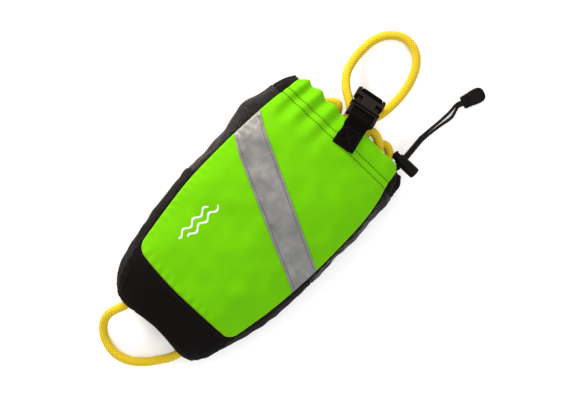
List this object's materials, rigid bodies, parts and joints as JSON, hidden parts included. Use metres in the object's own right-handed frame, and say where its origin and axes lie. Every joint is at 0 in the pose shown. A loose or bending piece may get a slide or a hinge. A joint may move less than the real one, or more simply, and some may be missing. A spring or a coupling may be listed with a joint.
{
  "type": "throw rope bag",
  "caption": "Wedge-shaped throw bag stuffed with floating rope, with a hand loop, a base loop, a gathered mouth with cord lock, and a strap with side-release buckle over it.",
  "frame": {"origin": "centre of the bag's footprint without its free ropes and cords, on the surface that the back panel lies on", "axes": "+Y from the base to the mouth, +Z out of the front panel, +X to the right when the front is seen with the mouth up"},
  "size_m": [0.1918, 0.4827, 0.079],
  "materials": {
    "green_fabric": "bright fluorescent green coated nylon, fine plain weave",
    "black_fabric": "matt black coated nylon, plain weave",
    "black_mesh": "black open knitted mesh",
    "foam": "closed-cell foam sheet",
    "reflective_tape": "silver retroreflective tape, satin, wrinkled",
    "webbing": "black nylon webbing",
    "rope": "yellow braided polypropylene",
    "drawcord": "black braided cord",
    "buckle_plastic": "black acetal, half gloss",
    "black_plastic": "black moulded nylon",
    "spring_steel": "bare spring wire"
  },
  "bodies": {
    "bag": {"front_panel": "green_fabric", "front_lower_band": "black_fabric", "front_foam": "foam", "reflective_tape": "reflective_tape", "back_panel": "black_fabric", "left_gusset_lower": "black_fabric", "right_gusset_lower": "black_fabric", "left_gusset_mesh": "black_mesh", "right_gusset_mesh": "black_mesh", "left_gusset_hem": "black_fabric", "right_gusset_hem": "black_fabric", "base_panel": "black_fabric", "base_grommet_left": "black_plastic", "base_grommet_right": "black_plastic", "base_washer_left": "black_plastic", "base_washer_right": "black_plastic", "drawcord_channel": "black_fabric", "drawcord": "drawcord", "drawcord_tail_upper": "drawcord", "drawcord_tail_lower": "drawcord", "front_strap": "webbing", "rear_strap": "webbing", "buckle_plug": "buckle_plastic", "cord_end": "black_plastic", "rope_hand_loop": "rope", "rope_base_loop": "rope", "rope_bundle": "rope", "hand_loop_knot": "rope", "base_loop_knot": "rope"},
    "buckle_socket": {"buckle_socket": "buckle_plastic", "rear_strap_loop": "webbing"},
    "latch_arm_left": {"latch_arm_left": "buckle_plastic"},
    "latch_arm_right": {"latch_arm_right": "buckle_plastic"},
    "cord_lock": {"cord_lock_barrel": "black_plastic", "cord_lock_spring": "spring_steel"},
    "cord_lock_plunger": {"cord_lock_plunger": "black_plastic"}
  },
  "joints": [
    {"name": "buckle_release", "type": "slide", "parent": "bag", "child": "buckle_socket", "axis": [-0.1228, 0.6964, -0.7071], "range_m": [0, 0.022]},
    {"name": "latch_left_squeeze", "type": "hinge", "parent": "bag", "child": "latch_arm_left", "pos_m": [-0.00929, 0.14724, 0.04658], "axis": [0.1228, -0.6964, -0.7071], "range_deg": [0, 10], "stiffness_Nm_per_rad": 0.2},
    {"name": "latch_right_squeeze", "type": "hinge", "parent": "bag", "child": "latch_arm_right", "pos_m": [0.01434, 0.15141, 0.04658], "axis": [-0.1228, 0.6964, 0.7071], "range_deg": [0, 10], "stiffness_Nm_per_rad": 0.2},
    {"name": "cord_lock_slide", "type": "slide", "parent": "bag", "child": "cord_lock", "axis": [0, 0.9063, -0.4226], "range_m": [0, 0.026]},
    {"name": "cord_lock_press", "type": "slide", "parent": "cord_lock", "child": "cord_lock_plunger", "axis": [1, 0, 0], "range_m": [0, 0.004], "stiffness_N_per_m": 900, "springref_m": -0.004, "deforming": ["cord_lock_spring"]}
  ],
  "couplings": [
    {"joint": "latch_right_squeeze", "follows": "latch_left_squeeze", "ratio": 1}
  ]
}
